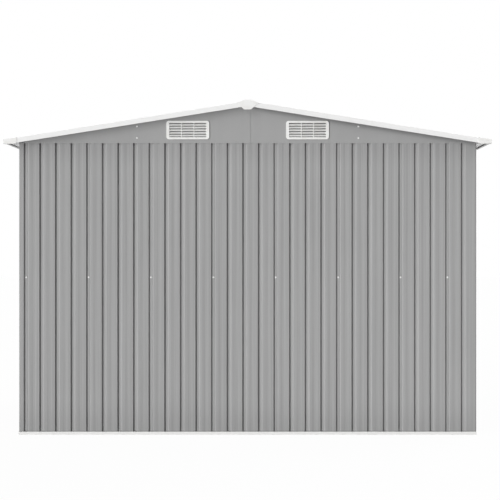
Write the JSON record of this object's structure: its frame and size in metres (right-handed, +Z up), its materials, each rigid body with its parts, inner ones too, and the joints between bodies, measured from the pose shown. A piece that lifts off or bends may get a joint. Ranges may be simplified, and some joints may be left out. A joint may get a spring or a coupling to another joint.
{
  "type": "metal storage shed",
  "caption": "Free-standing sheet-steel storage shed with ribbed grey walls, a low gable roof, white trims, louvred gable vents and closed sliding doors.",
  "frame": {"origin": "middle of the footprint on the ground, below the ridge", "axes": "+Z up, -Y out of the rear gable wall that the picture shows, +X to the right in the picture; ridge along Y"},
  "size_m": [2.58, 2.026, 1.7779],
  "materials": {
    "grey_sheet": "semi-matt grey coil coating",
    "white_trim": "semi-matt white coating",
    "zinc_rail": "plain galvanised",
    "white_plastic": "moulded white plastic",
    "black_plastic": "moulded black plastic"
  },
  "bodies": {
    "root": {"base_rail_rear": "white_trim", "base_rail_right": "white_trim", "base_rail_front": "white_trim", "base_rail_left": "white_trim", "rear_wall": "grey_sheet", "right_wall": "grey_sheet", "left_wall": "grey_sheet", "front_wall_left": "grey_sheet", "front_wall_right": "grey_sheet", "corner_panel_rear_left": "grey_sheet", "corner_panel_rear_right": "grey_sheet", "corner_panel_front_left": "grey_sheet", "corner_panel_front_right": "grey_sheet", "mid_rail_rear": "zinc_rail", "mid_rail_left": "zinc_rail", "mid_rail_right": "zinc_rail", "top_rail_rear": "zinc_rail", "top_rail_front": "zinc_rail", "top_rail_left": "zinc_rail", "top_rail_right": "zinc_rail", "rear_gable_left": "grey_sheet", "rear_gable_right": "grey_sheet", "front_gable_left": "grey_sheet", "front_gable_right": "grey_sheet", "gable_vents": "white_plastic", "ridge_beam": "zinc_rail", "roof_purlins": "zinc_rail", "roof_left": "grey_sheet", "roof_right": "grey_sheet", "ridge_cap": "grey_sheet", "verge_trim_rear_left": "white_trim", "verge_trim_rear_right": "white_trim", "verge_trim_front_left": "white_trim", "verge_trim_front_right": "white_trim", "eave_trim_left": "white_trim", "eave_trim_right": "white_trim", "ridge_end_caps": "white_plastic", "eave_corner_caps": "white_plastic", "front_header": "white_trim", "door_jambs": "white_trim", "door_track": "zinc_rail", "door_left": "grey_sheet", "door_right": "grey_sheet", "door_frames": "white_trim", "door_handles": "black_plastic"}
  },
  "joints": []
}
